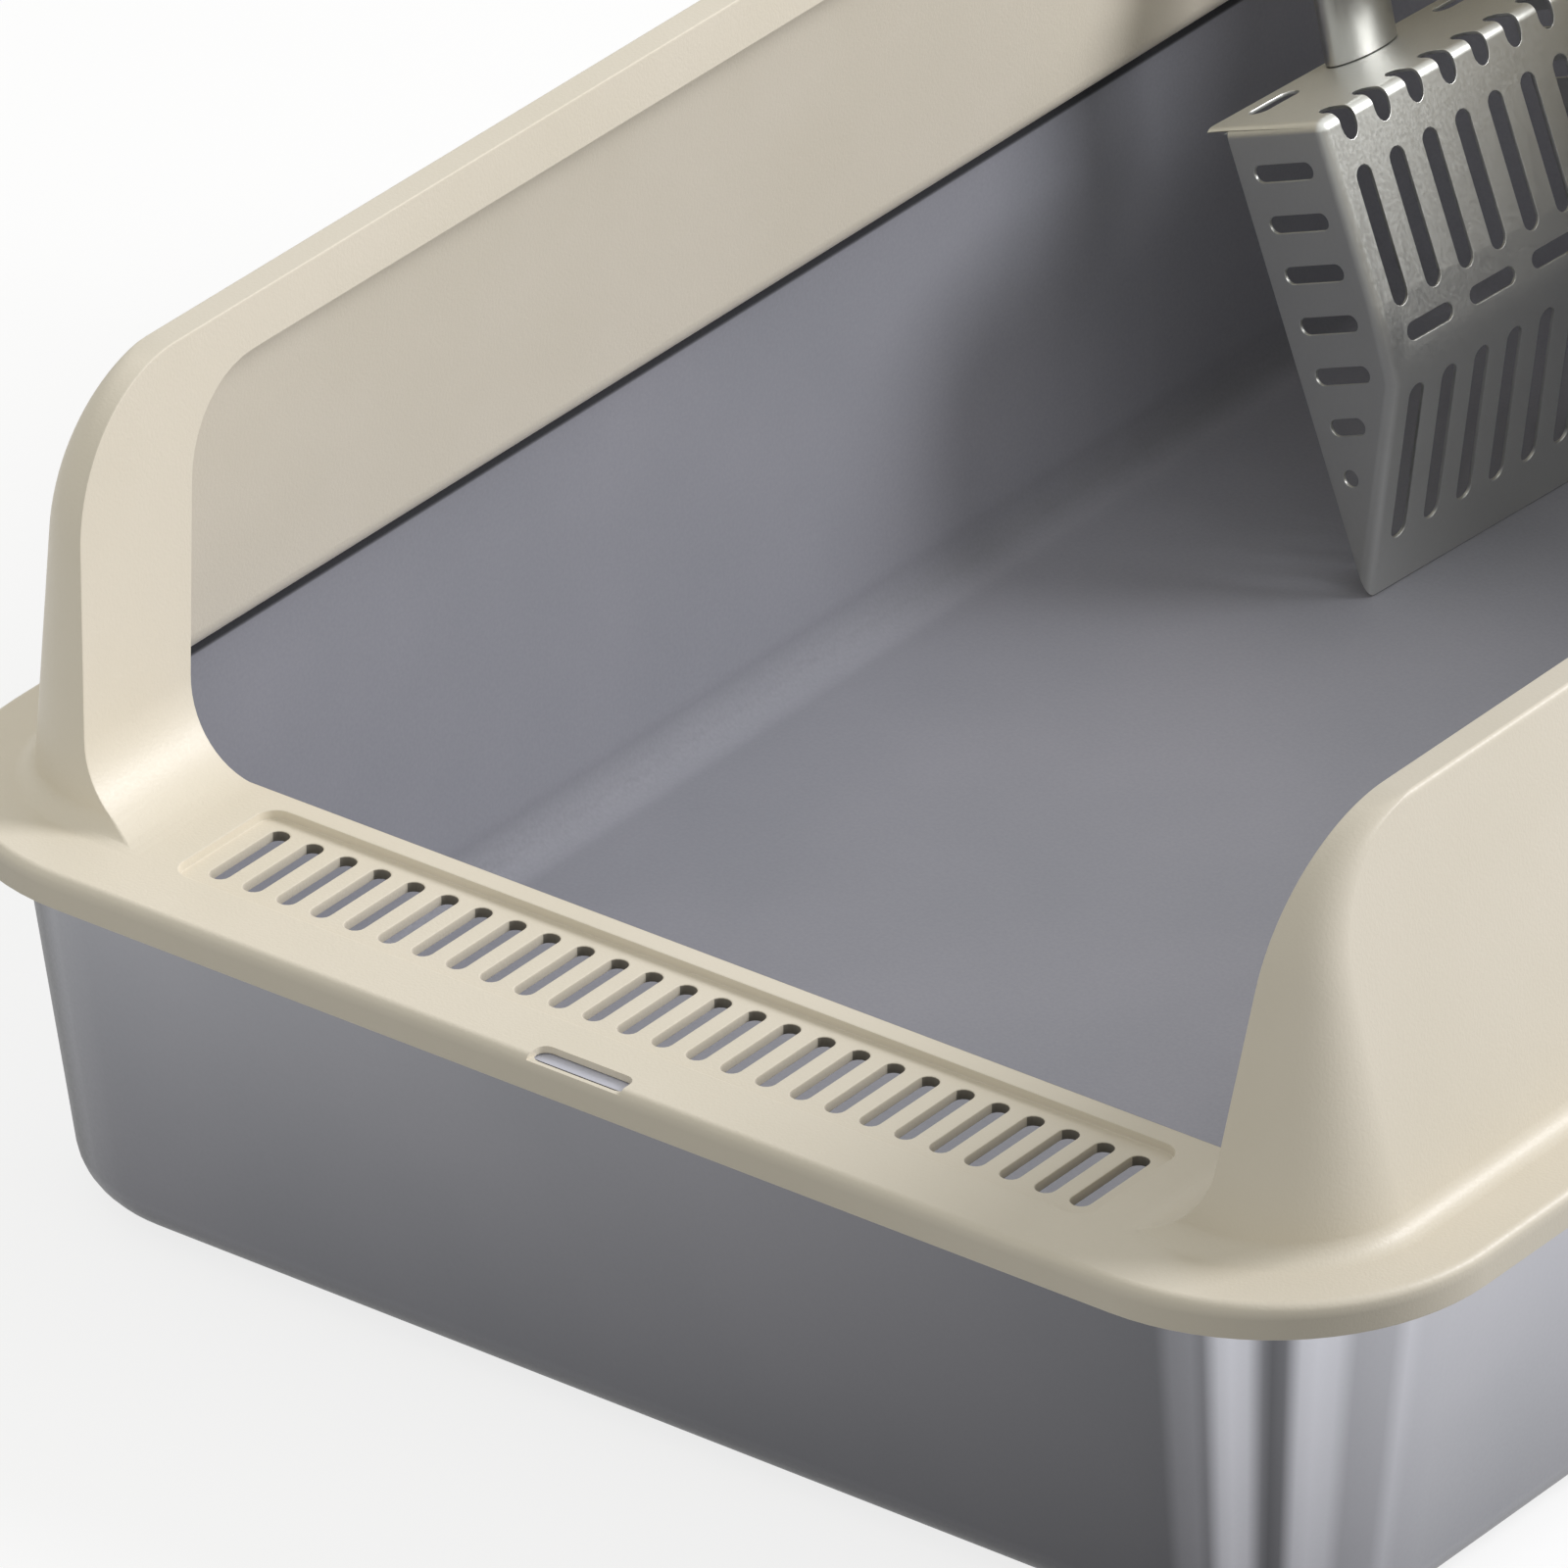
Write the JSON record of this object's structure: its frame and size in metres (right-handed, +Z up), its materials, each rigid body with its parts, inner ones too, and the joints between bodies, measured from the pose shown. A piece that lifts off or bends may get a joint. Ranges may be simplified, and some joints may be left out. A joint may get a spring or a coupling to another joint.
{
  "type": "stainless steel litter box",
  "caption": "Open steel litter pan with a lift-off high-sided plastic guard, a slotted grate over the entry sill and a slotted steel litter scoop.",
  "frame": {"origin": "on the ground plane, under the middle of the guard's rim", "axes": "+X to the box's right as seen from the entry, +Y from the entry to the back wall, +Z up"},
  "size_m": [0.42, 0.62, 0.2822],
  "materials": {
    "pan_steel": "satin drawn stainless steel sheet",
    "guard_plastic": "cream polypropylene with a fine matte grain",
    "scoop_steel": "satin folded stainless steel sheet",
    "handle_steel": "satin stainless steel tube",
    "plug_plastic": "dark grey polypropylene",
    "foot_rubber": "dull grey silicone rubber"
  },
  "bodies": {
    "pan": {"steel_pan": "pan_steel", "rubber_foot_front_left": "foot_rubber", "rubber_foot_front_right": "foot_rubber", "rubber_foot_back_left": "foot_rubber", "rubber_foot_back_right": "foot_rubber"},
    "guard": {"guard_frame": "guard_plastic"},
    "scoop": {"scoop_bowl": "scoop_steel", "scoop_handle": "handle_steel", "scoop_end_plug": "plug_plastic"}
  },
  "joints": [
    {"name": "guard_lift", "type": "slide", "parent": "pan", "child": "guard", "axis": [0, 0, 1], "range_m": [0, 0.12]},
    {"name": "scoop_lift", "type": "slide", "parent": "guard", "child": "scoop", "axis": [0, 0, 1], "range_m": [0, 0.25]}
  ]
}
